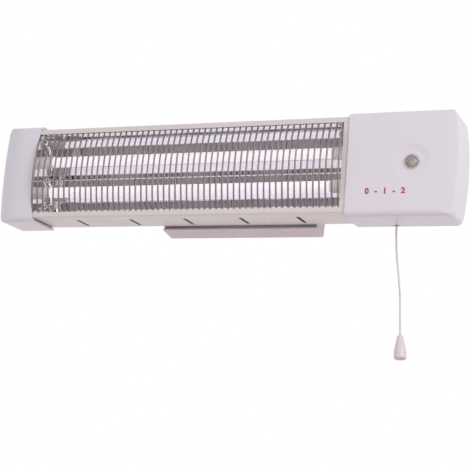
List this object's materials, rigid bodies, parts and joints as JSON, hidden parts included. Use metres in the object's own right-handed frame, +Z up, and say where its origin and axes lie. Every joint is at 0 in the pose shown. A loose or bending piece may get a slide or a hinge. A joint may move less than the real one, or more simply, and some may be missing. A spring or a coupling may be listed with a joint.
{
  "type": "quartz heater",
  "caption": "Wall-mounted quartz tube heater with a polished reflector, a bowed wire guard, plastic ends, a pull cord and a wall bracket that it tilts on.",
  "frame": {"origin": "on the wall, midway between the wall bracket's two screw holes", "axes": "+X to the viewer's right along the heater, +Y into the wall, +Z up"},
  "size_m": [0.535, 0.0968, 0.2561],
  "materials": {
    "casing_paint": "gloss",
    "bracket_paint": "gloss",
    "zinc": "satin",
    "black_rubber": "matte",
    "polished_aluminium": "polished",
    "milky_quartz": "satin",
    "heating_wire": "matte",
    "tube_ceramic": "matte",
    "terminal_brass": "satin",
    "guard_chrome": "polished",
    "white_plastic": "gloss",
    "lens_plastic": "polished",
    "black_plastic": "satin",
    "neon_glass": "polished",
    "cream_plastic": "satin",
    "cord_textile": "matte",
    "cam_plastic": "satin",
    "brown_sleeve": "satin",
    "white_sleeve": "satin",
    "blue_sleeve": "satin",
    "green_sleeve": "satin"
  },
  "bodies": {
    "bracket": {"wall_bracket": "bracket_paint", "pivot_bolts": "zinc", "pivot_nuts": "zinc", "friction_washers": "black_rubber"},
    "heater": {"casing_shell": "casing_paint", "left_side_frame": "casing_paint", "right_side_frame": "casing_paint", "left_end_plate": "zinc", "right_end_plate": "zinc", "end_plate_rivets": "zinc", "tilt_tabs": "zinc", "tab_rivets": "zinc", "reflector": "polished_aluminium", "left_end_mirror": "polished_aluminium", "right_end_mirror": "polished_aluminium", "upper_quartz_tube": "milky_quartz", "lower_quartz_tube": "milky_quartz", "upper_heating_coil": "heating_wire", "lower_heating_coil": "heating_wire", "ceramic_tube_ends": "tube_ceramic", "tube_terminals": "terminal_brass", "wire_guard": "guard_chrome", "left_end_cap": "white_plastic", "cap_screws": "zinc", "control_cover": "white_plastic", "cover_screws": "zinc", "indicator_lens": "lens_plastic", "lamp_holder": "black_plastic", "neon_lamp": "neon_glass", "switch_body": "cream_plastic", "switch_screws": "zinc", "return_spring": "zinc", "cord_bush": "black_plastic", "terminal_block": "cream_plastic", "terminal_screws": "terminal_brass", "cable_gland": "black_plastic", "gland_nut": "black_plastic", "cord_clamp": "cream_plastic", "clamp_screws": "zinc", "earth_screw": "terminal_brass", "live_lead": "brown_sleeve", "upper_lead": "white_sleeve", "lower_lead": "white_sleeve", "neutral_lead": "blue_sleeve", "link_lead": "white_sleeve", "earth_lead": "green_sleeve", "lamp_leads": "black_plastic"},
    "puller": {"switch_plunger": "black_plastic", "plunger_cord": "cord_textile"},
    "cam": {"switch_cam": "cam_plastic"},
    "cord": {"pull_cord": "cord_textile", "pull_knob": "white_plastic"}
  },
  "joints": [
    {"name": "tilt", "type": "hinge", "parent": "bracket", "child": "heater", "pos_m": [0, -0.0205, 0], "axis": [1, 0, 0], "range_deg": [-10, 7]},
    {"name": "pull", "type": "slide", "parent": "heater", "child": "puller", "axis": [0, 0.1736, -0.9848], "range_m": [0, 0.008], "stiffness_N_per_m": 300, "springref_m": -0.005},
    {"name": "cam_turn", "type": "hinge", "parent": "heater", "child": "cam", "pos_m": [0.1825, -0.04938, -0.02337], "axis": [1, 0, 0], "range_deg": [0, 46]},
    {"name": "cord_swing", "type": "hinge", "parent": "puller", "child": "cord", "pos_m": [0.1825, -0.03415, -0.04353], "axis": [1, 0, 0], "range_deg": [-8, 11]}
  ],
  "couplings": [
    {"joint": "cam_turn", "follows": "pull", "rad_per_m": 98},
    {"joint": "cord_swing", "follows": "tilt", "ratio": -1}
  ]
}
